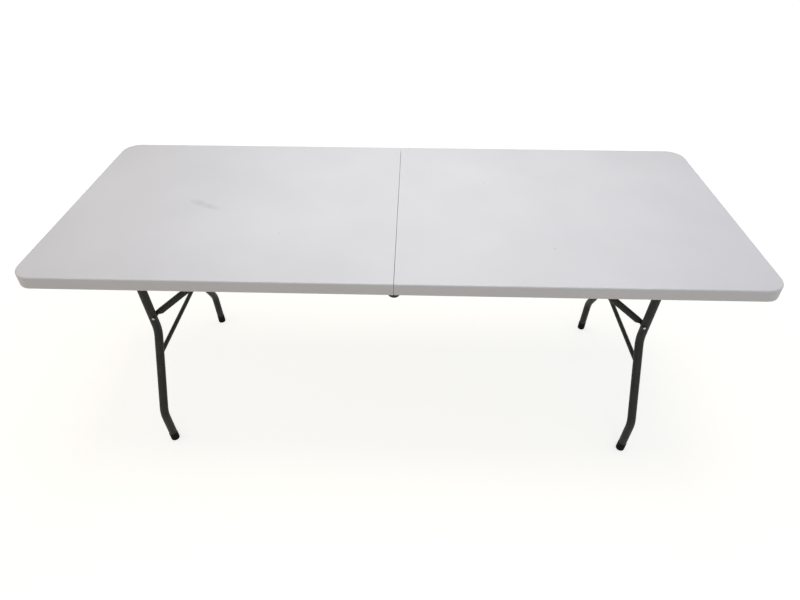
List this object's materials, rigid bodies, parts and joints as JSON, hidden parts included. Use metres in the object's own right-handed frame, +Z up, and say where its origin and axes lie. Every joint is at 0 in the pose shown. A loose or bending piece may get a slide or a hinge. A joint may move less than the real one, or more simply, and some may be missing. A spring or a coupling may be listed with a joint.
{
  "type": "folding table",
  "caption": "Fold-in-half trestle table with a moulded plastic top, wishbone steel legs that stow under it, and over-centre braces.",
  "frame": {"origin": "on the floor, below the centre of the top", "axes": "+X along the length of the table, +Y away from the near side, +Z up"},
  "size_m": [1.8, 0.7, 0.74],
  "materials": {
    "top_plastic": "blow-moulded polyethylene, fine satin grain",
    "grey_steel": "dark grey powder coat, satin",
    "foot_plastic": "near-black moulded plastic",
    "bright_zinc": "zinc-plated steel"
  },
  "bodies": {
    "left_half": {"top_left": "top_plastic", "rail_near_left": "grey_steel", "rail_far_left": "grey_steel", "hinge_plate_near_left": "grey_steel", "hinge_plate_far_left": "grey_steel", "link_bracket_near_left": "grey_steel", "link_bracket_far_left": "grey_steel", "rail_screws_left": "bright_zinc", "hinge_rivets_left": "bright_zinc", "link_rivets_left": "bright_zinc", "bracket_screws_left": "bright_zinc", "hinge_pin_near": "grey_steel", "hinge_pin_far": "grey_steel"},
    "left_leg_frame": {"leg_near_left": "grey_steel", "leg_far_left": "grey_steel", "foot_cap_near_left": "foot_plastic", "foot_cap_far_left": "foot_plastic", "pivot_tube_left": "grey_steel", "cross_bar_left": "grey_steel", "knee_rivets_left": "bright_zinc"},
    "left_brace": {"brace_near_left": "grey_steel", "brace_far_left": "grey_steel", "release_rod_left": "grey_steel"},
    "left_links": {"link_near_left": "grey_steel", "link_far_left": "grey_steel", "elbow_rivets_left": "bright_zinc"},
    "right_half": {"top_right": "top_plastic", "rail_near_right": "grey_steel", "rail_far_right": "grey_steel", "hinge_plate_near_right": "grey_steel", "hinge_plate_far_right": "grey_steel", "link_bracket_near_right": "grey_steel", "link_bracket_far_right": "grey_steel", "rail_screws_right": "bright_zinc", "hinge_rivets_right": "bright_zinc", "link_rivets_right": "bright_zinc", "bracket_screws_right": "bright_zinc"},
    "right_leg_frame": {"leg_near_right": "grey_steel", "leg_far_right": "grey_steel", "foot_cap_near_right": "foot_plastic", "foot_cap_far_right": "foot_plastic", "pivot_tube_right": "grey_steel", "cross_bar_right": "grey_steel", "knee_rivets_right": "bright_zinc"},
    "right_brace": {"brace_near_right": "grey_steel", "brace_far_right": "grey_steel", "release_rod_right": "grey_steel"},
    "right_links": {"link_near_right": "grey_steel", "link_far_right": "grey_steel", "elbow_rivets_right": "bright_zinc"}
  },
  "joints": [
    {"name": "centre_fold", "type": "hinge", "parent": "left_half", "child": "right_half", "pos_m": [0, 0, 0.7], "axis": [0, 1, 0], "range_deg": [0, 90]},
    {"name": "left_leg_fold", "type": "hinge", "parent": "left_half", "child": "left_leg_frame", "pos_m": [-0.728, 0, 0.714], "axis": [0, -1, 0], "range_deg": [0, 91.44]},
    {"name": "left_brace_turn", "type": "hinge", "parent": "left_leg_frame", "child": "left_brace", "pos_m": [-0.72866, 0, 0.42993], "axis": [0, -1, 0], "range_deg": [-120.71, 0]},
    {"name": "left_link_turn", "type": "hinge", "parent": "left_half", "child": "left_links", "pos_m": [-0.21, 0, 0.7205], "axis": [0, -1, 0], "range_deg": [0, 150.75]},
    {"name": "right_leg_fold", "type": "hinge", "parent": "right_half", "child": "right_leg_frame", "pos_m": [0.728, 0, 0.714], "axis": [0, 1, 0], "range_deg": [0, 91.44]},
    {"name": "right_brace_turn", "type": "hinge", "parent": "right_leg_frame", "child": "right_brace", "pos_m": [0.72866, 0, 0.42993], "axis": [0, 1, 0], "range_deg": [-120.71, 0]},
    {"name": "right_link_turn", "type": "hinge", "parent": "right_half", "child": "right_links", "pos_m": [0.21, 0, 0.7205], "axis": [0, 1, 0], "range_deg": [0, 150.75]}
  ],
  "couplings": [
    {"joint": "left_brace_turn", "follows": "left_leg_fold", "ratio": -1.32},
    {"joint": "left_link_turn", "follows": "left_leg_fold", "ratio": 1.6484},
    {"joint": "right_brace_turn", "follows": "right_leg_fold", "ratio": -1.32},
    {"joint": "right_link_turn", "follows": "right_leg_fold", "ratio": 1.6484}
  ]
}
